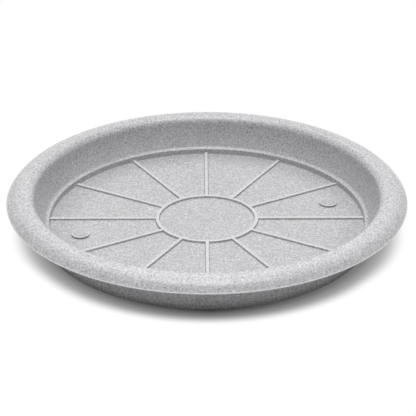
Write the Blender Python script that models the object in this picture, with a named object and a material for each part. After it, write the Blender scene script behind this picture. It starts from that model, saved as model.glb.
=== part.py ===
"""Round plant saucer: one moulded tray with a rolled rim, and two push-in drain plugs.

Metres, +Z up. The origin is on the ground, under the middle of the tray.
"""

import math

import bmesh
import bpy
from mathutils import Matrix, Vector

# Foot and floor of the tray
FOOT_HEIGHT = 0.0033
FOOT_WIDTH = 0.0028
FOOT_TAPER = 0.0002
FLOOR_RADIUS = 0.1190
FLOOR_THICKNESS = 0.0022
GATE_MARK_RADIUS = 0.0024
GATE_MARK_HEIGHT = 0.0004
GATE_MARK_SLOPE = 0.0006

# Step up from the floor, ledge, and a wall that leans out and bends upright
STEP_HEIGHT = 0.0042
STEP_DRAFT = 0.0003
LEDGE_WIDTH = 0.0003
LEDGE_FILLET = 0.0033
WALL_LENGTH = 0.0187
WALL_LEAN = math.radians(27.0)
WALL_BEND_RADIUS = 0.0798
WALL_THICKNESS = 0.0024

# Rolled rim: three tangent bends, each given by the radius on its hollow side, and a short skirt
THROAT_HOLLOW_RADIUS = 0.0046
CROWN_HOLLOW_RADIUS = 0.0176
LIP_HOLLOW_RADIUS = 0.0076
CROWN_RISE = math.radians(4.0)
CROWN_FALL = math.radians(20.0)
SKIRT_FALL = math.radians(55.0)
SKIRT_LENGTH = 0.0020
LIP_BEAD_HEIGHT = 0.0010
LIP_BEAD_PROUD = 0.0005

# Ribs and hub ring that hold the pot off the floor
RIB_COUNT = 12
RIB_HEIGHT = 0.0014
RIB_TOP_WIDTH = 0.0024
RIB_BASE_WIDTH = 0.0036
HUB_RADIUS = 0.0376
HUB_ABOVE_RIBS = 0.0002

# Drain plugs, midway between two ribs on opposite sides of the tray
PLUG_NAMES = ("drain_plug_right", "drain_plug_left")
PLUG_DISTANCE = 0.0976
PLUG_HEAD_RADIUS = 0.0069
PLUG_HEAD_THICKNESS = 0.0012
PLUG_HEAD_ROUND = 0.0005
PLUG_RIM_WIDTH = 0.0010
PLUG_DISH_DEPTH = 0.0003
PLUG_STEM_RADIUS = 0.0040
PLUG_STEM_TAPER = 0.0004
PLUG_STEM_BELOW_FLOOR = 0.0010
PLUG_HOLE_CLEARANCE = 0.0003
PLUG_SEAT_GAP = 0.0003

# Roundness of the turned shapes
TRAY_SEGMENTS = 60
PLUG_SEGMENTS = 32
FILLET_STEPS = 4
WALL_STEPS = 4
THROAT_STEPS = 4
CROWN_STEPS = 6
LIP_STEPS = 6
HEAD_ROUND_STEPS = 3
SHARP_ANGLE = math.radians(40.0)
MERGE_DISTANCE = 0.000001

# Heights that several pieces share
FLOOR_TOP = FOOT_HEIGHT + FLOOR_THICKNESS
LEDGE_TOP = FLOOR_TOP + STEP_HEIGHT

STONE_GREY = (0.60, 0.60, 0.60, 1.0)
PLUG_GREY = (0.62, 0.62, 0.62, 1.0)
MATTE_ROUGHNESS = 0.75


def clear_scene():
    for item in list(bpy.data.objects):
        bpy.data.objects.remove(item, do_unlink=True)


def plastic(name, colour):
    material = bpy.data.materials.new(name)
    material.use_nodes = True
    shader = material.node_tree.nodes["Principled BSDF"]
    shader.inputs["Base Color"].default_value = colour
    shader.inputs["Roughness"].default_value = MATTE_ROUGHNESS
    shader.inputs["Metallic"].default_value = 0.0
    return material


def finish_object(name, shape, material=None):
    """Turn a bmesh into a named, smooth-shaded object in the scene."""
    bmesh.ops.recalc_face_normals(shape, faces=shape.faces)
    mesh = bpy.data.meshes.new(name)
    shape.to_mesh(mesh)
    shape.free()
    mesh.shade_smooth()
    mesh.set_sharp_from_angle(angle=SHARP_ANGLE)
    if material:
        mesh.materials.append(material)
    item = bpy.data.objects.new(name, mesh)
    bpy.context.scene.collection.objects.link(item)
    return item


def guide(item):
    """Keep an object as a guide that only shapes another one."""
    item.hide_render = True
    item.display_type = 'WIRE'
    return item


def left_of(heading):
    """Unit vector to the left of a heading in the (radius, height) plane."""
    return Vector((-math.sin(heading), math.cos(heading)))


def arc(centre, radius, first, last, steps):
    """Points round a centre while the heading turns; a negative radius bends to the left."""
    turn = (last - first) / steps
    return [centre + radius * left_of(first + turn * step) for step in range(steps + 1)]


def turned(section, segments, is_ring=False):
    """Spin a section of (radius, height) points about +Z."""
    shape = bmesh.new()
    points = [shape.verts.new((radius, 0.0, height)) for radius, height in section]
    pairs = list(zip(points, points[1:]))
    if is_ring:
        pairs.append((points[-1], points[0]))
    edges = [shape.edges.new(pair) for pair in pairs]
    bmesh.ops.spin(
        shape, geom=points + edges, cent=(0.0, 0.0, 0.0), axis=(0.0, 0.0, 1.0),
        angle=math.tau, steps=segments, use_merge=True,
    )
    bmesh.ops.remove_doubles(shape, verts=shape.verts, dist=MERGE_DISTANCE)
    return shape


def rim_sides(wall_top, wall_heading):
    """Show side and hollow side of the rolled rim, from the wall's top to the lip."""
    bends = (
        (THROAT_HOLLOW_RADIUS, wall_heading, CROWN_RISE, THROAT_STEPS),
        (CROWN_HOLLOW_RADIUS, CROWN_RISE, -CROWN_FALL, CROWN_STEPS),
        (LIP_HOLLOW_RADIUS, -CROWN_FALL, -SKIRT_FALL, LIP_STEPS),
    )
    show_side = [wall_top]
    hollow_side = []
    for hollow_radius, first, last, steps in bends:
        radius = hollow_radius + WALL_THICKNESS
        centre = show_side[-1] - radius * left_of(first)
        show_side = show_side[:-1] + arc(centre, radius, first, last, steps)
        hollow_side = hollow_side[:-1] + arc(centre, hollow_radius, first, last, steps)
    skirt = SKIRT_LENGTH * Vector((math.cos(SKIRT_FALL), -math.sin(SKIRT_FALL)))
    show_side.append(show_side[-1] + skirt)
    hollow_side.append(hollow_side[-1] + skirt)
    return show_side, hollow_side


def tray_section():
    """Closed half section of the tray, from the floor's middle round to its underside."""
    wall_foot_heading = math.pi / 2 - WALL_LEAN
    wall_top_heading = wall_foot_heading + WALL_LENGTH / WALL_BEND_RADIUS
    ledge_start = FLOOR_RADIUS + STEP_DRAFT
    floor_side = [
        Vector((0.0, FLOOR_TOP + GATE_MARK_HEIGHT)),
        Vector((GATE_MARK_RADIUS, FLOOR_TOP + GATE_MARK_HEIGHT)),
        Vector((GATE_MARK_RADIUS + GATE_MARK_SLOPE, FLOOR_TOP)),
        Vector((FLOOR_RADIUS, FLOOR_TOP)),
        Vector((ledge_start, LEDGE_TOP)),
    ]
    fillet_centre = Vector((ledge_start + LEDGE_WIDTH, LEDGE_TOP + LEDGE_FILLET))
    fillet = arc(fillet_centre, -LEDGE_FILLET, 0.0, wall_foot_heading, FILLET_STEPS)

    wall_centre = fillet[-1] + WALL_BEND_RADIUS * left_of(wall_foot_heading)
    back_radius = WALL_BEND_RADIUS + WALL_THICKNESS
    wall = arc(wall_centre, -WALL_BEND_RADIUS, wall_foot_heading, wall_top_heading, WALL_STEPS)
    wall_back = arc(wall_centre, -back_radius, wall_foot_heading, wall_top_heading, WALL_STEPS)
    show_side, hollow_side = rim_sides(wall[-1], wall_top_heading)

    lip = show_side[-1]
    bead = [
        Vector((lip.x + LIP_BEAD_PROUD, lip.y - LIP_BEAD_PROUD)),
        Vector((lip.x + LIP_BEAD_PROUD, lip.y - LIP_BEAD_HEIGHT)),
    ]
    foot_outside = wall_back[0].x - FOOT_TAPER
    foot_inside = foot_outside - FOOT_WIDTH
    underside = [
        Vector((foot_outside, 0.0)),
        Vector((foot_inside, 0.0)),
        Vector((foot_inside, FOOT_HEIGHT)),
        Vector((0.0, FOOT_HEIGHT)),
    ]
    return (
        floor_side + fillet[:-1] + wall[:-1] + show_side + bead
        + hollow_side[:0:-1] + wall_back[::-1] + underside
    )


def rib_section(rise):
    """Tapered rib section as (offset from its middle, height), sunk halfway into the floor."""
    sink = FLOOR_THICKNESS / 2
    flank_slope = (RIB_BASE_WIDTH - RIB_TOP_WIDTH) / 2 / rise
    sunk_half_width = RIB_BASE_WIDTH / 2 + flank_slope * sink
    top_half_width = RIB_TOP_WIDTH / 2
    return [
        (-sunk_half_width, FLOOR_TOP - sink),
        (sunk_half_width, FLOOR_TOP - sink),
        (top_half_width, FLOOR_TOP + rise),
        (-top_half_width, FLOOR_TOP + rise),
    ]


def hub_ring():
    profile = rib_section(RIB_HEIGHT + HUB_ABOVE_RIBS)
    section = [(HUB_RADIUS + offset, height) for offset, height in profile]
    return guide(finish_object("hub_ring_guide", turned(section, TRAY_SEGMENTS, is_ring=True)))


def ribs():
    """Straight bars from the hub ring into the step, evenly spaced round the middle."""
    length = FLOOR_RADIUS + STEP_DRAFT + LEDGE_WIDTH - HUB_RADIUS
    shape = bmesh.new()
    for number in range(RIB_COUNT):
        corners = [shape.verts.new((HUB_RADIUS, *point)) for point in rib_section(RIB_HEIGHT)]
        end = shape.faces.new(corners)
        pushed = bmesh.ops.extrude_face_region(shape, geom=[end], use_keep_orig=True)
        far_corners = [part for part in pushed["geom"] if isinstance(part, bmesh.types.BMVert)]
        bmesh.ops.translate(shape, verts=far_corners, vec=(length, 0.0, 0.0))
        turn = Matrix.Rotation(math.tau * number / RIB_COUNT, 3, 'Z')
        bmesh.ops.rotate(shape, verts=corners + far_corners, matrix=turn)
    return guide(finish_object("rib_guide", shape))


def plug_places():
    """Points on the floor, midway between two ribs, on opposite sides of the middle."""
    first = math.pi / RIB_COUNT
    angles = [first + math.tau * number / len(PLUG_NAMES) for number in range(len(PLUG_NAMES))]
    return [PLUG_DISTANCE * Vector((math.cos(angle), math.sin(angle), 0.0)) for angle in angles]


def drain_holes():
    """Cutter with one round post for each drain hole, taller than the floor is thick."""
    shape = bmesh.new()
    for place in plug_places():
        middle = place + Vector((0.0, 0.0, FLOOR_TOP - FLOOR_THICKNESS / 2))
        radius = PLUG_STEM_RADIUS + PLUG_HOLE_CLEARANCE
        bmesh.ops.create_cone(
            shape, cap_ends=True, segments=PLUG_SEGMENTS, radius1=radius, radius2=radius,
            depth=FLOOR_THICKNESS * 2, matrix=Matrix.Translation(middle),
        )
    return guide(finish_object("drain_hole_guide", shape))


def combine(item, tool, operation):
    step = item.modifiers.new(tool.name, 'BOOLEAN')
    step.object = tool
    step.operation = operation
    step.solver = 'EXACT'


def tray():
    shape = turned(tray_section(), TRAY_SEGMENTS)
    item = finish_object("tray", shape, plastic("stone_grey_plastic", STONE_GREY))
    combine(item, hub_ring(), 'UNION')
    combine(item, ribs(), 'UNION')
    combine(item, drain_holes(), 'DIFFERENCE')
    return item


def plug_section():
    """Half section of a plug, from the middle of its head down to its stem's end."""
    round_centre = Vector((PLUG_HEAD_RADIUS - PLUG_HEAD_ROUND, PLUG_HEAD_THICKNESS - PLUG_HEAD_ROUND))
    stem_end = -(PLUG_SEAT_GAP + FLOOR_THICKNESS + PLUG_STEM_BELOW_FLOOR)
    dish = PLUG_HEAD_THICKNESS - PLUG_DISH_DEPTH
    rim_inside = PLUG_HEAD_RADIUS - PLUG_RIM_WIDTH
    return [
        Vector((0.0, dish)),
        Vector((rim_inside - PLUG_DISH_DEPTH, dish)),
        Vector((rim_inside, PLUG_HEAD_THICKNESS)),
        *arc(round_centre, PLUG_HEAD_ROUND, 0.0, -math.pi / 2, HEAD_ROUND_STEPS),
        Vector((PLUG_HEAD_RADIUS, 0.0)),
        Vector((PLUG_STEM_RADIUS, 0.0)),
        Vector((PLUG_STEM_RADIUS - PLUG_STEM_TAPER, stem_end)),
        Vector((0.0, stem_end)),
    ]


def drain_plug(name, place, carrier):
    """One plug; its origin is on its own axis, level with the underside of its head."""
    shape = turned(plug_section(), PLUG_SEGMENTS)
    item = finish_object(name, shape, plastic(name + "_plastic", PLUG_GREY))
    item.parent = carrier
    item.location = place + Vector((0.0, 0.0, FLOOR_TOP + PLUG_SEAT_GAP))


def build_saucer():
    clear_scene()
    saucer_tray = tray()
    for name, place in zip(PLUG_NAMES, plug_places()):
        drain_plug(name, place, saucer_tray)


build_saucer()
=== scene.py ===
import math

import bmesh
import bpy
from mathutils import Matrix, Vector


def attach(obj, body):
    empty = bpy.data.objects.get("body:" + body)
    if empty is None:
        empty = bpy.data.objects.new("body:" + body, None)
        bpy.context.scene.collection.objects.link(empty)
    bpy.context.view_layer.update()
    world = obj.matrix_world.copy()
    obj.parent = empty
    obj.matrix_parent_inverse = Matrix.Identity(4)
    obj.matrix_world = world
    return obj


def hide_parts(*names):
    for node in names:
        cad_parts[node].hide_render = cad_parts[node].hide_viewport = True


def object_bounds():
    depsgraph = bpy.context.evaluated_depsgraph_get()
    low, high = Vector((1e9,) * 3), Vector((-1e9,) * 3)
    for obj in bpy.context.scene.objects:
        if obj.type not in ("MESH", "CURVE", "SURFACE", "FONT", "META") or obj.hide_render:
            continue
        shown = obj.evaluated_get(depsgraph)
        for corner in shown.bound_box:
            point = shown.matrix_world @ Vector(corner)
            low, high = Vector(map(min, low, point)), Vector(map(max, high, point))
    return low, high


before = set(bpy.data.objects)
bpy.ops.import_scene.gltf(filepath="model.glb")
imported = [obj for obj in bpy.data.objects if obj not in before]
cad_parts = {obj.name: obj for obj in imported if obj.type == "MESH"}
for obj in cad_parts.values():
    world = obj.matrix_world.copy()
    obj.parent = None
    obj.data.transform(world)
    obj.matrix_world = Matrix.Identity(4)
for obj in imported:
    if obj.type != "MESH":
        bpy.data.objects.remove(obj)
cad_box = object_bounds()

# Foot and floor of the tray, in metres, as in the solid model
FOOT_HEIGHT = 0.0033
FOOT_WIDTH = 0.0028
FOOT_TAPER = 0.0002
FLOOR_RADIUS = 0.1190
FLOOR_THICKNESS = 0.0022

# Step, ledge, wall and rolled rim
STEP_HEIGHT = 0.0042
STEP_DRAFT = 0.0003
LEDGE_WIDTH = 0.0003
LEDGE_FILLET = 0.0033
WALL_LENGTH = 0.0187
WALL_LEAN = math.radians(27.0)
WALL_BEND_RADIUS = 0.0798
WALL_THICKNESS = 0.0024
THROAT_HOLLOW_RADIUS = 0.0046
CROWN_HOLLOW_RADIUS = 0.0176
LIP_HOLLOW_RADIUS = 0.0076
CROWN_RISE = math.radians(4.0)
CROWN_FALL = math.radians(20.0)
SKIRT_FALL = math.radians(55.0)
SKIRT_LENGTH = 0.0020
LIP_BEAD_HEIGHT = 0.0010
LIP_BEAD_PROUD = 0.0005

# Ribs and hub ring
RIB_COUNT = 12
RIB_HEIGHT = 0.0014
RIB_TOP_WIDTH = 0.0024
RIB_BASE_WIDTH = 0.0036
HUB_RADIUS = 0.0376
HUB_ABOVE_RIBS = 0.0002

# Drain plugs and their holes
PLUG_NAMES = ("drain_plug_right", "drain_plug_left")
PLUG_DISTANCE = 0.0976
PLUG_HEAD_RADIUS = 0.0069
PLUG_HEAD_THICKNESS = 0.0012
PLUG_HEAD_ROUND = 0.0005
PLUG_RIM_WIDTH = 0.0010
PLUG_DISH_DEPTH = 0.0003
PLUG_STEM_RADIUS = 0.0040
PLUG_STEM_TAPER = 0.0004
PLUG_STEM_BELOW_FLOOR = 0.0010
PLUG_HOLE_CLEARANCE = 0.0003
PLUG_SEAT_GAP = 0.0003

# Small moulded edges that only the finished surface has
STEP_FOOT_ROUND = 0.0004
STEP_EDGE_ROUND = 0.0003
LIP_EDGE_ROUND = 0.00025
FOOT_EDGE_ROUND = 0.0005
RIB_EDGE_ROUND = 0.0006
PLUG_DISH_ROUND = 0.0003
PLUG_UNDER_ROUND = 0.00025
PLUG_STEM_ROUND = 0.0006
GATE_RING_INSIDE = 0.0018
GATE_RING_OUTSIDE = 0.0030
GATE_RING_HEIGHT = 0.0004
GATE_NIB_RADIUS = 0.0007
GATE_NIB_HEIGHT = 0.0005
GATE_SLOPE = 0.0003
GATE_ROUND = 0.00015

# Fineness of the turned meshes
TRAY_SEGMENTS = 240
PLUG_SEGMENTS = 64
CORNER_STEPS = 4
BEND_STEPS = 20
CROWN_STEPS = 20
SHARP_ANGLE = math.radians(35.0)
MERGE_DISTANCE = 0.000001

FLOOR_TOP = FOOT_HEIGHT + FLOOR_THICKNESS
LEDGE_TOP = FLOOR_TOP + STEP_HEIGHT
RIM_RADIUS = cad_box[1][0]

# Camera, worked out from the ellipses of rim, step and hub ring in the 416 pixel photograph
IMAGE_PIXELS = 416
FOCAL_PIXELS = 1376.0
SENSOR_WIDTH = 36.0
CAMERA_DISTANCE = 1.050
CAMERA_ELEVATION = math.radians(27.55)
CAMERA_AZIMUTH = math.radians(-0.35)
CAMERA_AIM = Vector((0.0008, 0.0, 0.0148))

# Soft light from overhead, a weaker one from behind, and a weak even fill
KEY_SIZE = 1.8
KEY_PLACE = Vector((0.0, 0.0, 2.40))
KEY_POWER = 48.0
BACK_WIDTH = 1.6
BACK_DEPTH = 0.9
BACK_PLACE = Vector((0.0, 1.54, 1.84))
BACK_POWER = 8.5
SKY_WHITE = (1.0, 1.0, 1.0, 1.0)
SKY_FILL = 0.25

# White floor: the shadow lies close round the foot, partly painted, and is lighter and wider at the two
# sides
STAGE_SIZE = 8.0
STAGE_WHITE = (1.0, 1.0, 1.0, 1.0)
STAGE_SHADED_GREY = (0.18, 0.18, 0.18, 1.0)
STAGE_BOUNCE_GREY = (0.96, 0.96, 0.96, 1.0)
# Painted shade: the floor's bounce colour is darker near the foot, where the shadow lies
STAGE_NEAR_BOUNCE_GREY = (0.78, 0.78, 0.78, 1.0)
SHADOW_DEEP_RADIUS = 0.1240
SHADOW_HALF_RADIUS = 0.1340
SHADOW_FRONT_LIGHT = 0.17
SHADOW_SIDE_LIGHT = 0.20
SHADOW_FADE_START = 0.1315
SHADOW_FADE_END = 0.1450
SHADOW_SIDE_END = 0.1490
SHADOW_SIDE_START = 0.78
SHADOW_SHIFT = (0.0010, 0.0, 0.0)
SHADOW_SQUEEZE = (0.990, 1.0, 1.0)

# Stone-effect plastic: fine grain, dark and light flecks, broad mottling
STONE_GREY = (0.540, 0.540, 0.552, 1.0)
PLUG_GREY = (0.505, 0.505, 0.517, 1.0)
FLECK_DARK = (0.20, 0.20, 0.21, 1.0)
FLECK_LIGHT = (0.80, 0.80, 0.81, 1.0)
GRAIN_SIZE = 0.0012
GRAIN_DETAIL = 2.0
MOTTLE_SIZE = 0.022
MOTTLE_DETAIL = 3.0
FLECK_SIZE = 0.0019
GRAIN_CONTRAST = 1.40
MOTTLE_CONTRAST = 0.10
FLECK_SHARE = 0.16
FLECK_EDGE = 0.55
FLECK_CORE = 0.20
FLECK_STRENGTH_LOW = 0.34
FLECK_STRENGTH_HIGH = 0.65
FLECK_RISE_START = 0.012
FLECK_RISE_END = 0.032
ROUGHNESS = 0.27
SPECULAR_LEVEL = 0.35
ROUGHNESS_SWING = 0.20
GRAIN_BUMP_STRENGTH = 0.60
GRAIN_BUMP_HEIGHT = 0.00015

# Painted shade in the colour: on the floor, in its corner, on flanks, wall and rim slope, and at the
# foot
PAINTED_SHADE_GREY = (0.10, 0.10, 0.10, 1.0)
PAINTED_FLOOR_SHADE = 0.075
PAINTED_CORNER_SHADE = 0.29
CORNER_SHADE_START = 0.084
CORNER_SHADE_RISE = 0.0060
PAINTED_STEP_SHADE = 0.20
PAINTED_FLANK_SHADE = 0.45
PAINTED_WALL_SHADE = 0.15
PAINTED_RIM_SHADE = 0.10
RIM_SHADE_WIDTH = 0.0130
PAINTED_FOOT_SHADE = 0.40
FOOT_SHADE_TOP = 0.006

# Upward share of the surface's normal on steep flanks, on the rim's slope and on the show side
STEEP_FROM = 0.75
STEEP_TO = 0.35
RIM_SLOPE_FROM = 0.985
RIM_SLOPE_TO = 0.90
SHOW_SIDE_FROM = -0.05

# Painted highlights on the tops of raised edges and on the lip bead
PAINTED_HIGHLIGHT_GREY = (0.80, 0.80, 0.81, 1.0)
PAINTED_HIGHLIGHT_AMOUNT = 0.50
LIP_HIGHLIGHT_AMOUNT = 0.60
HIGHLIGHT_DEPTH = 0.0002

# Painted light and shade, as factors on the colour at the near and far side of the rim
PAINTED_NEAR_LIGHT = 1.10
PAINTED_FAR_SHADE = 0.93
SIDE_PAINT_LOW_HEIGHT = 0.008
SIDE_PAINT_FULL_HEIGHT = 0.026


def left_of(heading):
    """Unit vector to the left of a heading in the (radius, height) plane."""
    return Vector((-math.sin(heading), math.cos(heading)))


def arc(centre, radius, first, last, steps):
    """Points round a centre while the heading turns; a negative radius bends to the left."""
    turn = (last - first) / steps
    return [centre + radius * left_of(first + turn * step) for step in range(steps + 1)]


def round_corner(before, corner, after, radius):
    """Arc of that radius in place of the corner between two straight stretches."""
    first = math.atan2(corner.y - before.y, corner.x - before.x)
    turn = math.atan2(after.y - corner.y, after.x - corner.x) - first
    turn = math.remainder(turn, math.tau)
    bend = -math.copysign(radius, turn)
    along = Vector((math.cos(first), math.sin(first)))
    start = corner - along * radius * math.tan(abs(turn) / 2)
    centre = start - bend * left_of(first)
    return arc(centre, bend, first, first + turn, CORNER_STEPS)


def rounded(corners):
    """Outline through (point, radius) corners; a corner with no radius stays sharp."""
    outline = []
    for number, (corner, radius) in enumerate(corners):
        if radius:
            outline += round_corner(corners[number - 1][0], corner, corners[number + 1][0], radius)
        else:
            outline.append(corner)
    return outline


def rim_sides(wall_top, wall_heading):
    """Show side and hollow side of the rolled rim, from the wall's top to the lip."""
    bends = (
        (THROAT_HOLLOW_RADIUS, wall_heading, CROWN_RISE, BEND_STEPS),
        (CROWN_HOLLOW_RADIUS, CROWN_RISE, -CROWN_FALL, CROWN_STEPS),
        (LIP_HOLLOW_RADIUS, -CROWN_FALL, -SKIRT_FALL, BEND_STEPS),
    )
    show_side = [wall_top]
    hollow_side = []
    for hollow_radius, first, last, steps in bends:
        radius = hollow_radius + WALL_THICKNESS
        centre = show_side[-1] - radius * left_of(first)
        show_side = show_side[:-1] + arc(centre, radius, first, last, steps)
        hollow_side = hollow_side[:-1] + arc(centre, hollow_radius, first, last, steps)
    skirt = SKIRT_LENGTH * Vector((math.cos(SKIRT_FALL), -math.sin(SKIRT_FALL)))
    show_side.append(show_side[-1] + skirt)
    hollow_side.append(hollow_side[-1] + skirt)
    return show_side, hollow_side


def floor_outline():
    """Gate mark, floor and step, from the middle of the floor to the ledge."""
    nib_top = FLOOR_TOP + GATE_NIB_HEIGHT
    ring_top = FLOOR_TOP + GATE_RING_HEIGHT
    ledge_start = FLOOR_RADIUS + STEP_DRAFT
    return rounded([
        (Vector((0.0, nib_top)), 0.0),
        (Vector((GATE_NIB_RADIUS, nib_top)), GATE_ROUND),
        (Vector((GATE_NIB_RADIUS + GATE_SLOPE, FLOOR_TOP)), GATE_ROUND),
        (Vector((GATE_RING_INSIDE, FLOOR_TOP)), GATE_ROUND),
        (Vector((GATE_RING_INSIDE + GATE_SLOPE, ring_top)), GATE_ROUND),
        (Vector((GATE_RING_OUTSIDE - GATE_SLOPE, ring_top)), GATE_ROUND),
        (Vector((GATE_RING_OUTSIDE, FLOOR_TOP)), GATE_ROUND),
        (Vector((FLOOR_RADIUS, FLOOR_TOP)), STEP_FOOT_ROUND),
        (Vector((ledge_start, LEDGE_TOP)), STEP_EDGE_ROUND),
        (Vector((ledge_start + LEDGE_WIDTH, LEDGE_TOP)), 0.0),
    ])


def lip_outline(lip, hollow_lip):
    """Thin bead round the lip and its lower edge, ending on the hollow side."""
    return rounded([
        (lip, 0.0),
        (Vector((lip.x + LIP_BEAD_PROUD, lip.y - LIP_BEAD_PROUD)), LIP_EDGE_ROUND / 2),
        (Vector((lip.x + LIP_BEAD_PROUD, lip.y - LIP_BEAD_HEIGHT)), LIP_EDGE_ROUND),
        (hollow_lip, 0.0),
    ])


def foot_outline(knee):
    """Foot ring and the floor's underside, from the back of the wall's foot to the middle."""
    foot_outside = knee.x - FOOT_TAPER
    foot_inside = foot_outside - FOOT_WIDTH
    return rounded([
        (knee, 0.0),
        (Vector((foot_outside, 0.0)), FOOT_EDGE_ROUND),
        (Vector((foot_inside, 0.0)), FOOT_EDGE_ROUND),
        (Vector((foot_inside, FOOT_HEIGHT)), FOOT_EDGE_ROUND),
        (Vector((0.0, FOOT_HEIGHT)), 0.0),
    ])


def tray_section():
    """Closed half section of the tray, from the floor's middle round to its underside."""
    low = math.pi / 2 - WALL_LEAN
    high = low + WALL_LENGTH / WALL_BEND_RADIUS
    back_radius = WALL_BEND_RADIUS + WALL_THICKNESS
    floor_side = floor_outline()
    fillet_centre = floor_side[-1] + Vector((0.0, LEDGE_FILLET))
    fillet = arc(fillet_centre, -LEDGE_FILLET, 0.0, low, BEND_STEPS)
    wall_centre = fillet[-1] + WALL_BEND_RADIUS * left_of(low)
    wall = arc(wall_centre, -WALL_BEND_RADIUS, low, high, BEND_STEPS)
    wall_back = arc(wall_centre, -back_radius, low, high, BEND_STEPS)
    show_side, hollow_side = rim_sides(wall[-1], high)
    return (
        floor_side + fillet[:-1] + wall[:-1] + show_side[:-1]
        + lip_outline(show_side[-1], hollow_side[-1])
        + hollow_side[-2:0:-1] + wall_back[:0:-1] + foot_outline(wall_back[0])
    )


def turned(section, segments, is_ring=False):
    """Spin a section of (radius, height) points about +Z into a closed skin."""
    shape = bmesh.new()
    points = [shape.verts.new((radius, 0.0, height)) for radius, height in section]
    pairs = list(zip(points, points[1:]))
    if is_ring:
        pairs.append((points[-1], points[0]))
    edges = [shape.edges.new(pair) for pair in pairs]
    bmesh.ops.spin(
        shape, geom=points + edges, cent=(0.0, 0.0, 0.0), axis=(0.0, 0.0, 1.0),
        angle=math.tau, steps=segments, use_merge=True,
    )
    bmesh.ops.remove_doubles(shape, verts=shape.verts, dist=MERGE_DISTANCE)
    bmesh.ops.recalc_face_normals(shape, faces=shape.faces)
    return shape


def new_object(name, shape):
    """Named object in the scene from a bmesh, at the origin."""
    mesh = bpy.data.meshes.new(name)
    shape.to_mesh(mesh)
    shape.free()
    item = bpy.data.objects.new(name, mesh)
    bpy.context.scene.collection.objects.link(item)
    return item


def shade(item):
    item.data.shade_smooth()
    item.data.set_sharp_from_angle(angle=SHARP_ANGLE)


def rib_section(rise):
    """Tapered rib section as (offset from its middle, height), sunk halfway into the floor."""
    sink = FLOOR_THICKNESS / 2
    flank_slope = (RIB_BASE_WIDTH - RIB_TOP_WIDTH) / 2 / rise
    sunk_half_width = RIB_BASE_WIDTH / 2 + flank_slope * sink
    top_half_width = RIB_TOP_WIDTH / 2
    return [
        Vector((-sunk_half_width, FLOOR_TOP - sink)),
        Vector((sunk_half_width, FLOOR_TOP - sink)),
        Vector((top_half_width, FLOOR_TOP + rise)),
        Vector((-top_half_width, FLOOR_TOP + rise)),
    ]


def rounded_rib_section(rise):
    """Rib section with its two top edges rounded."""
    low_left, low_right, top_right, top_left = rib_section(rise)
    return [
        low_left,
        low_right,
        *round_corner(low_right, top_right, top_left, RIB_EDGE_ROUND),
        *round_corner(top_right, top_left, low_left, RIB_EDGE_ROUND),
    ]


def hub_ring():
    outline = rounded_rib_section(RIB_HEIGHT + HUB_ABOVE_RIBS)
    section = [(HUB_RADIUS + point.x, point.y) for point in outline]
    return new_object("hub_ring_tool", turned(section, TRAY_SEGMENTS, is_ring=True))


def ribs():
    """Round-edged bars from the hub ring into the step, evenly spaced round the middle."""
    length = FLOOR_RADIUS + STEP_DRAFT + LEDGE_WIDTH - HUB_RADIUS
    outline = rounded_rib_section(RIB_HEIGHT)
    shape = bmesh.new()
    for number in range(RIB_COUNT):
        corners = [shape.verts.new((HUB_RADIUS, point.x, point.y)) for point in outline]
        end = shape.faces.new(corners)
        pushed = bmesh.ops.extrude_face_region(shape, geom=[end], use_keep_orig=True)
        far_corners = [part for part in pushed["geom"] if isinstance(part, bmesh.types.BMVert)]
        bmesh.ops.translate(shape, verts=far_corners, vec=(length, 0.0, 0.0))
        turn = Matrix.Rotation(math.tau * number / RIB_COUNT, 3, 'Z')
        bmesh.ops.rotate(shape, verts=corners + far_corners, matrix=turn)
    bmesh.ops.recalc_face_normals(shape, faces=shape.faces)
    return new_object("rib_tool", shape)


def plug_places():
    """Points on the floor, midway between two ribs, on opposite sides of the middle."""
    first = math.pi / RIB_COUNT
    angles = [first + math.tau * number / len(PLUG_NAMES) for number in range(len(PLUG_NAMES))]
    return [PLUG_DISTANCE * Vector((math.cos(angle), math.sin(angle), 0.0)) for angle in angles]


def drain_holes():
    """Round posts that cut the drain holes through the floor."""
    shape = bmesh.new()
    radius = PLUG_STEM_RADIUS + PLUG_HOLE_CLEARANCE
    for place in plug_places():
        middle = place + Vector((0.0, 0.0, FLOOR_TOP - FLOOR_THICKNESS / 2))
        bmesh.ops.create_cone(
            shape, cap_ends=True, segments=PLUG_SEGMENTS, radius1=radius, radius2=radius,
            depth=FLOOR_THICKNESS * 2, matrix=Matrix.Translation(middle),
        )
    return new_object("drain_hole_tool", shape)


def combined(item, tools):
    """Join or cut an object with its tools, then throw the tools away."""
    for tool, operation in tools:
        step = item.modifiers.new(tool.name, 'BOOLEAN')
        step.object = tool
        step.operation = operation
        step.solver = 'EXACT'
    bpy.context.view_layer.update()
    evaluated = item.evaluated_get(bpy.context.evaluated_depsgraph_get())
    rough_mesh = item.data
    finished_mesh = bpy.data.meshes.new_from_object(evaluated)
    item.modifiers.clear()
    item.data = finished_mesh
    finished_mesh.name = item.name
    bpy.data.meshes.remove(rough_mesh)
    for tool, _ in tools:
        bpy.data.meshes.remove(tool.data)


def moulded_tray(material):
    item = new_object("moulded_tray", turned(tray_section(), TRAY_SEGMENTS))
    combined(item, [(hub_ring(), 'UNION'), (ribs(), 'UNION'), (drain_holes(), 'DIFFERENCE')])
    shade(item)
    item.data.materials.clear()
    item.data.materials.append(material)
    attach(item, "tray")
    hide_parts("tray")


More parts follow.
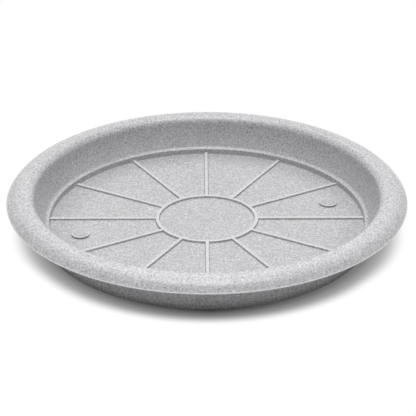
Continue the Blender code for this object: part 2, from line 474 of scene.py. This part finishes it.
def plug_section():
    """Half section of a plug, from the middle of its head down to its stem's end."""
    stem_end = -(PLUG_SEAT_GAP + FLOOR_THICKNESS + PLUG_STEM_BELOW_FLOOR)
    dish = PLUG_HEAD_THICKNESS - PLUG_DISH_DEPTH
    rim_inside = PLUG_HEAD_RADIUS - PLUG_RIM_WIDTH
    return rounded([
        (Vector((0.0, dish)), 0.0),
        (Vector((rim_inside - PLUG_DISH_DEPTH, dish)), PLUG_DISH_ROUND),
        (Vector((rim_inside, PLUG_HEAD_THICKNESS)), PLUG_DISH_ROUND),
        (Vector((PLUG_HEAD_RADIUS, PLUG_HEAD_THICKNESS)), PLUG_HEAD_ROUND),
        (Vector((PLUG_HEAD_RADIUS, 0.0)), PLUG_UNDER_ROUND),
        (Vector((PLUG_STEM_RADIUS, 0.0)), PLUG_UNDER_ROUND),
        (Vector((PLUG_STEM_RADIUS - PLUG_STEM_TAPER, stem_end)), PLUG_STEM_ROUND),
        (Vector((0.0, stem_end)), 0.0),
    ])


def moulded_plug(node, place, material):
    shape = turned(plug_section(), PLUG_SEGMENTS)
    seat = place + Vector((0.0, 0.0, FLOOR_TOP + PLUG_SEAT_GAP))
    bmesh.ops.translate(shape, verts=shape.verts, vec=seat)
    item = new_object("moulded_" + node, shape)
    shade(item)
    item.data.materials.append(material)
    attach(item, node)
    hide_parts(node)


def add(tree, kind, inputs, **settings):
    """New shader node; an input takes a value, or the socket of another node."""
    node = tree.nodes.new("ShaderNode" + kind)
    for name, setting in settings.items():
        setattr(node, name, setting)
    for name, source in inputs.items():
        if isinstance(source, bpy.types.NodeSocket):
            tree.links.new(source, node.inputs[name])
        else:
            node.inputs[name].default_value = source
    return node


def maths(tree, operation, first, second=0.0):
    return add(tree, "Math", {0: first, 1: second}, operation=operation).outputs[0]


def ramp(tree, value, low, high):
    """Smooth rise from 0 at low to 1 at high, or a fall where low is the larger."""
    inputs = {"Value": value, "From Min": low, "From Max": high}
    return add(tree, "MapRange", inputs, interpolation_type='SMOOTHSTEP').outputs["Result"]


def remap(tree, value, low, high, at_low, at_high):
    """Even change from at_low, where the value is low, to at_high, where it is high."""
    inputs = {"Value": value, "From Min": low, "From Max": high, "To Min": at_low, "To Max": at_high}
    return add(tree, "MapRange", inputs).outputs["Result"]


def swing(tree, value, amount):
    """Factor that swings round 1 as a noise value swings round one half."""
    inputs = {"Value": value, "To Min": 1.0 - amount / 2, "To Max": 1.0 + amount / 2}
    return add(tree, "MapRange", inputs, clamp=False).outputs["Result"]


def between(tree, factor, first, second):
    """Value that goes from first to second as the factor goes from 0 to 1."""
    return add(tree, "Mix", {0: factor, 2: first, 3: second}).outputs[0]


def blend(tree, factor, first, second, blend_type='MIX'):
    """Colour mixed from two."""
    inputs = {0: factor, 6: first, 7: second}
    return add(tree, "Mix", inputs, data_type='RGBA', blend_type=blend_type).outputs[2]


def new_group(name, inputs, outputs):
    """Empty node group with named sockets, and its input and output nodes."""
    group = bpy.data.node_groups.new(name, 'ShaderNodeTree')
    for socket, kind in inputs.items():
        group.interface.new_socket(socket, in_out='INPUT', socket_type=kind)
    for socket, kind in outputs.items():
        group.interface.new_socket(socket, in_out='OUTPUT', socket_type=kind)
    return group, group.nodes.new("NodeGroupInput"), group.nodes.new("NodeGroupOutput")


def noise(tree, position, size, detail):
    """Noise round one half, with lumps of about that size."""
    inputs = {"Vector": position, "Scale": 1 / size, "Detail": detail}
    return add(tree, "TexNoise", inputs).outputs[0]


def fleck_mask(tree, chance, distance, first):
    """Soft round fleck in the share of the cells whose chance is just above first."""
    half_share = FLECK_SHARE / 2
    inputs = {0: chance, 1: first + half_share, 2: half_share}
    chosen = add(tree, "Math", inputs, operation='COMPARE').outputs[0]
    return maths(tree, 'MULTIPLY', chosen, ramp(tree, distance, FLECK_EDGE, FLECK_CORE))


def stone_grain_group():
    """Granite look of the plastic: colour, roughness and height of the grain."""
    group, given, result = new_group(
        "stone_grain",
        {"Position": 'NodeSocketVector', "Colour": 'NodeSocketColor', "Flecks": 'NodeSocketFloat'},
        {"Colour": 'NodeSocketColor', "Roughness": 'NodeSocketFloat', "Height": 'NodeSocketFloat'},
    )
    position = given.outputs["Position"]
    grain = noise(group, position, GRAIN_SIZE, GRAIN_DETAIL)
    mottle = noise(group, position, MOTTLE_SIZE, MOTTLE_DETAIL)
    cells = add(group, "TexVoronoi", {"Vector": position, "Scale": 1 / FLECK_SIZE}).outputs
    chance = add(group, "SeparateColor", {"Color": cells["Color"]}).outputs["Red"]
    tone = maths(
        group, 'MULTIPLY', swing(group, grain, GRAIN_CONTRAST), swing(group, mottle, MOTTLE_CONTRAST),
    )
    colour = blend(group, 1.0, given.outputs["Colour"], tone, 'MULTIPLY')
    for first, fleck_colour in ((0.0, FLECK_DARK), (1.0 - FLECK_SHARE, FLECK_LIGHT)):
        mask = fleck_mask(group, chance, cells["Distance"], first)
        amount = maths(group, 'MULTIPLY', mask, given.outputs["Flecks"])
        colour = blend(group, amount, colour, fleck_colour)
    roughness = maths(group, 'MULTIPLY', swing(group, grain, ROUGHNESS_SWING), ROUGHNESS)
    group.links.new(colour, result.inputs["Colour"])
    group.links.new(roughness, result.inputs["Roughness"])
    group.links.new(grain, result.inputs["Height"])
    return group


def below_ledge(tree, height):
    """1 on the floor, its ribs and the step."""
    return maths(tree, 'LESS_THAN', height, LEDGE_TOP - STEP_EDGE_ROUND)


def floor_painted_shade(tree, radius, height, upward):
    """Painted shade on the floor and the wall, stronger in the corner and on the flanks of ribs and
    step.
    """
    is_below_ledge = below_ledge(tree, height)
    steep = ramp(tree, upward, STEEP_FROM, STEEP_TO)
    flank = maths(tree, 'MULTIPLY', steep, is_below_ledge)
    wall = maths(tree, 'SUBTRACT', steep, flank)
    corner = maths(
        tree, 'MULTIPLY', ramp(tree, radius, CORNER_SHADE_START, FLOOR_RADIUS),
        ramp(tree, height, LEDGE_TOP + CORNER_SHADE_RISE, FLOOR_TOP),
    )
    is_rib = maths(tree, 'LESS_THAN', radius, FLOOR_RADIUS - STEP_FOOT_ROUND)
    flank_shade = between(tree, is_rib, PAINTED_STEP_SHADE, PAINTED_FLANK_SHADE)
    # Painted shade: corner, flanks, step and wall are darkened in the colour
    painted_shade = between(tree, flank, maths(tree, 'MULTIPLY', corner, PAINTED_CORNER_SHADE), flank_shade)
    painted_shade = maths(tree, 'MAXIMUM', painted_shade, maths(tree, 'MULTIPLY', wall, PAINTED_WALL_SHADE))
    return maths(tree, 'MAXIMUM', painted_shade, maths(tree, 'MULTIPLY', is_below_ledge, PAINTED_FLOOR_SHADE))


def rim_painted_shade(tree, radius, upward):
    """Painted shade on the outer slope of the rim."""
    slope = maths(
        tree, 'MULTIPLY', ramp(tree, upward, RIM_SLOPE_FROM, RIM_SLOPE_TO),
        maths(tree, 'GREATER_THAN', radius, RIM_RADIUS - RIM_SHADE_WIDTH),
    )
    return maths(tree, 'MULTIPLY', slope, PAINTED_RIM_SHADE)


def foot_painted_shade(tree, radius, height):
    """Painted shade on the outside of the foot, fading out upwards."""
    foot = maths(
        tree, 'MULTIPLY', ramp(tree, height, FOOT_SHADE_TOP, 0.0),
        maths(tree, 'GREATER_THAN', radius, FLOOR_RADIUS + STEP_DRAFT + LEDGE_WIDTH),
    )
    return maths(tree, 'MULTIPLY', foot, PAINTED_FOOT_SHADE)


def floor_painted_highlight(tree, radius, height, upward):
    """Painted highlight on the tops of ribs, hub ring, plug edges and gate mark."""
    rib_top = FLOOR_TOP + RIB_HEIGHT
    raised = maths(
        tree, 'MULTIPLY', ramp(tree, height, rib_top - HIGHLIGHT_DEPTH, rib_top), below_ledge(tree, height),
    )
    gate_mark = maths(
        tree, 'MULTIPLY', ramp(tree, height, FLOOR_TOP, FLOOR_TOP + GATE_RING_HEIGHT),
        maths(tree, 'LESS_THAN', radius, GATE_RING_OUTSIDE),
    )
    raised = maths(tree, 'MAXIMUM', raised, gate_mark)
    top = maths(tree, 'MULTIPLY', raised, ramp(tree, upward, STEEP_TO, STEEP_FROM))
    top = maths(tree, 'MULTIPLY', top, maths(tree, 'LESS_THAN', radius, FLOOR_RADIUS))
    return maths(tree, 'MULTIPLY', top, PAINTED_HIGHLIGHT_AMOUNT)


def lip_painted_highlight(tree, radius):
    """Painted highlight on the bead round the lip."""
    lip = ramp(tree, radius, RIM_RADIUS - LIP_BEAD_PROUD, RIM_RADIUS - LIP_BEAD_PROUD / 2)
    return maths(tree, 'MULTIPLY', lip, LIP_HIGHLIGHT_AMOUNT)


def shade_and_highlight_group():
    """How much painted shade the surface takes, and how much painted highlight its raised edges take.
    """
    group, given, result = new_group(
        "painted_shade_and_highlight",
        {"Position": 'NodeSocketVector', "Normal": 'NodeSocketVector'},
        {"Painted Shade": 'NodeSocketFloat', "Painted Highlight": 'NodeSocketFloat'},
    )
    place = add(group, "SeparateXYZ", {"Vector": given.outputs["Position"]}).outputs
    upward = add(group, "SeparateXYZ", {"Vector": given.outputs["Normal"]}).outputs["Z"]
    height = place["Z"]
    flat_place = add(group, "CombineXYZ", {"X": place["X"], "Y": place["Y"]}).outputs[0]
    radius = add(group, "VectorMath", {0: flat_place}, operation='LENGTH').outputs["Value"]
    is_show_side = maths(
        group, 'MULTIPLY', maths(group, 'GREATER_THAN', upward, SHOW_SIDE_FROM),
        maths(group, 'GREATER_THAN', height, FLOOR_TOP - FLOOR_THICKNESS / 2),
    )
    painted_shade = maths(
        group, 'MAXIMUM', floor_painted_shade(group, radius, height, upward), rim_painted_shade(group, radius, upward),
    )
    shade_share = between(group, is_show_side, foot_painted_shade(group, radius, height), painted_shade)
    # Painted highlight: raised tops and the lip bead are made paler in the colour
    painted_highlight = maths(group, 'MAXIMUM', floor_painted_highlight(group, radius, height, upward), lip_painted_highlight(group, radius))
    group.links.new(shade_share, result.inputs["Painted Shade"])
    group.links.new(painted_highlight, result.inputs["Painted Highlight"])
    return group


def painted_side_light(tree, tone, place):
    """Painted light: tone made paler on the near side and darker on the far side, on the raised parts
    only.
    """
    factor = remap(tree, place["Y"], -RIM_RADIUS, RIM_RADIUS, PAINTED_NEAR_LIGHT, PAINTED_FAR_SHADE)
    raised = ramp(tree, place["Z"], SIDE_PAINT_LOW_HEIGHT, SIDE_PAINT_FULL_HEIGHT)
    return blend(tree, raised, tone, factor, 'MULTIPLY')


def stone_plastic(name, colour, grain_group, painted_group):
    """Moulded plastic with a stone grain, and painted shade, painted highlights and painted side light
    in its colour.
    """
    material = bpy.data.materials.new(name)
    material.use_nodes = True
    tree = material.node_tree
    shader = tree.nodes["Principled BSDF"]
    shader.inputs["Specular IOR Level"].default_value = SPECULAR_LEVEL
    position = add(tree, "TexCoord", {}).outputs["Object"]
    normal = add(tree, "NewGeometry", {}).outputs["Normal"]
    place = add(tree, "SeparateXYZ", {"Vector": position}).outputs
    flecks = remap(
        tree, place["Z"], FLECK_RISE_START, FLECK_RISE_END, FLECK_STRENGTH_LOW, FLECK_STRENGTH_HIGH,
    )
    grain_inputs = {"Position": position, "Colour": colour, "Flecks": flecks}
    grain = add(tree, "Group", grain_inputs, node_tree=grain_group).outputs
    painted_light = add(tree, "Group", {"Position": position, "Normal": normal}, node_tree=painted_group).outputs
    # Painted shade, painted highlights and painted light from the near side, mixed into the base colour
    tone = blend(tree, painted_light["Painted Shade"], grain["Colour"], PAINTED_SHADE_GREY)
    tone = blend(tree, painted_light["Painted Highlight"], tone, PAINTED_HIGHLIGHT_GREY)
    # Painted light from the near side and painted shade on the far side of the raised parts
    tone = painted_side_light(tree, tone, place)
    bump = add(tree, "Bump", {
        "Height": grain["Height"], "Strength": GRAIN_BUMP_STRENGTH, "Distance": GRAIN_BUMP_HEIGHT,
    })
    tree.links.new(tone, shader.inputs["Base Color"])
    tree.links.new(grain["Roughness"], shader.inputs["Roughness"])
    tree.links.new(bump.outputs["Normal"], shader.inputs["Normal"])
    return material


def seen_rays(tree):
    """1 on rays that show the stage itself: straight to the camera, mirrored or passed through."""
    path = add(tree, "LightPath", {}).outputs
    mirrored = maths(tree, 'MAXIMUM', path["Is Glossy Ray"], path["Is Transmission Ray"])
    return maths(tree, 'MAXIMUM', path["Is Camera Ray"], mirrored)


def shadow_place(tree, position):
    """Distance from the middle of the shadow, and how far to the side a point of the floor lies."""
    shifted = add(tree, "VectorMath", {0: position, 1: SHADOW_SHIFT}, operation='SUBTRACT').outputs[0]
    squeezed = add(tree, "VectorMath", {0: shifted, 1: SHADOW_SQUEEZE}, operation='MULTIPLY').outputs[0]
    radius = add(tree, "VectorMath", {0: squeezed}, operation='LENGTH').outputs["Value"]
    across = add(tree, "SeparateXYZ", {"Vector": position}).outputs["X"]
    side = maths(tree, 'DIVIDE', maths(tree, 'ABSOLUTE', across), radius)
    return radius, side


def clear_of_shadow(tree):
    """Painted shadow mask: 0 in the deep shadow round the foot, rising to 1 where the floor is clear of
    it.
    """
    position = add(tree, "TexCoord", {}).outputs["Object"]
    radius, side = shadow_place(tree, position)
    # Painted light in the shadow: its lightness is set by distance and side, over the real shade of the
    # grey
    half = ramp(tree, radius, SHADOW_DEEP_RADIUS, SHADOW_HALF_RADIUS)
    half = maths(tree, 'MULTIPLY', half, SHADOW_FRONT_LIGHT)
    half = maths(tree, 'ADD', half, maths(tree, 'MULTIPLY', side, SHADOW_SIDE_LIGHT))
    far_side = ramp(tree, side, SHADOW_SIDE_START, 1.0)
    fade_end = between(tree, far_side, SHADOW_FADE_END, SHADOW_SIDE_END)
    fade = ramp(tree, radius, SHADOW_FADE_START, fade_end)
    return between(tree, fade, half, 1.0)


def white_floor():
    """Floor that looks white, with the object's shadow partly painted and kept close round its foot."""
    material = bpy.data.materials.new("stage_white")
    material.use_nodes = True
    tree = material.node_tree
    tree.nodes.clear()
    clear = clear_of_shadow(tree)
    shaded = add(tree, "BsdfDiffuse", {"Color": STAGE_SHADED_GREY}).outputs[0]
    white = add(tree, "Emission", {"Color": STAGE_WHITE}).outputs[0]
    # Painted shade in the bounce: the floor's colour for other rays is darker near the foot
    bounce_grey = blend(tree, clear, STAGE_NEAR_BOUNCE_GREY, STAGE_BOUNCE_GREY)
    bounce = add(tree, "BsdfDiffuse", {"Color": bounce_grey}).outputs[0]
    seen = add(tree, "MixShader", {0: clear, 1: shaded, 2: white}).outputs[0]
    surface = add(tree, "MixShader", {0: seen_rays(tree), 1: bounce, 2: seen}).outputs[0]
    add(tree, "OutputMaterial", {"Surface": surface})
    return material


def stage_floor():
    shape = bmesh.new()
    bmesh.ops.create_grid(shape, x_segments=1, y_segments=1, size=STAGE_SIZE / 2)
    floor = new_object("stage_floor", shape)
    floor.data.materials.append(white_floor())


def softbox(name, place, width, depth, power):
    """Oval soft lamp that looks at the middle of the floor."""
    light = bpy.data.lights.new(name, 'AREA')
    light.shape = 'ELLIPSE'
    light.size = width
    light.size_y = depth
    light.energy = power
    lamp = bpy.data.objects.new(name, light)
    lamp.location = place
    lamp.rotation_mode = 'QUATERNION'
    lamp.rotation_quaternion = (-place).to_track_quat('-Z', 'Y')
    bpy.context.scene.collection.objects.link(lamp)


def sky():
    """Weak even fill that looks white where it is seen."""
    world = bpy.data.worlds.new("studio_sky")
    world.use_nodes = True
    tree = world.node_tree
    background = tree.nodes["Background"]
    background.inputs["Color"].default_value = SKY_WHITE
    strength = maths(tree, 'MAXIMUM', seen_rays(tree), SKY_FILL)
    tree.links.new(strength, background.inputs["Strength"])
    bpy.context.scene.world = world


def camera():
    data = bpy.data.cameras.new("photo_camera")
    data.sensor_width = SENSOR_WIDTH
    data.lens = SENSOR_WIDTH * FOCAL_PIXELS / IMAGE_PIXELS
    item = bpy.data.objects.new("photo_camera", data)
    flat = math.cos(CAMERA_ELEVATION)
    item.location = CAMERA_DISTANCE * Vector((
        math.sin(CAMERA_AZIMUTH) * flat,
        -math.cos(CAMERA_AZIMUTH) * flat,
        math.sin(CAMERA_ELEVATION),
    ))
    look = CAMERA_AIM - item.location
    item.rotation_mode = 'QUATERNION'
    item.rotation_quaternion = look.to_track_quat('-Z', 'Y')
    bpy.context.scene.collection.objects.link(item)
    bpy.context.scene.camera = item


bpy.context.scene.view_settings.view_transform = 'Standard'
camera()
stage_floor()
softbox("overhead_softbox", KEY_PLACE, KEY_SIZE, KEY_SIZE, KEY_POWER)
softbox("back_softbox", BACK_PLACE, BACK_WIDTH, BACK_DEPTH, BACK_POWER)
sky()
stone_grain = stone_grain_group()
painted_shade_and_highlight = shade_and_highlight_group()
moulded_tray(stone_plastic("stone_plastic", STONE_GREY, stone_grain, painted_shade_and_highlight))
plug_plastic = stone_plastic("plug_plastic", PLUG_GREY, stone_grain, painted_shade_and_highlight)
for plug_node, plug_place in zip(PLUG_NAMES, plug_places()):
    moulded_plug(plug_node, plug_place, plug_plastic)
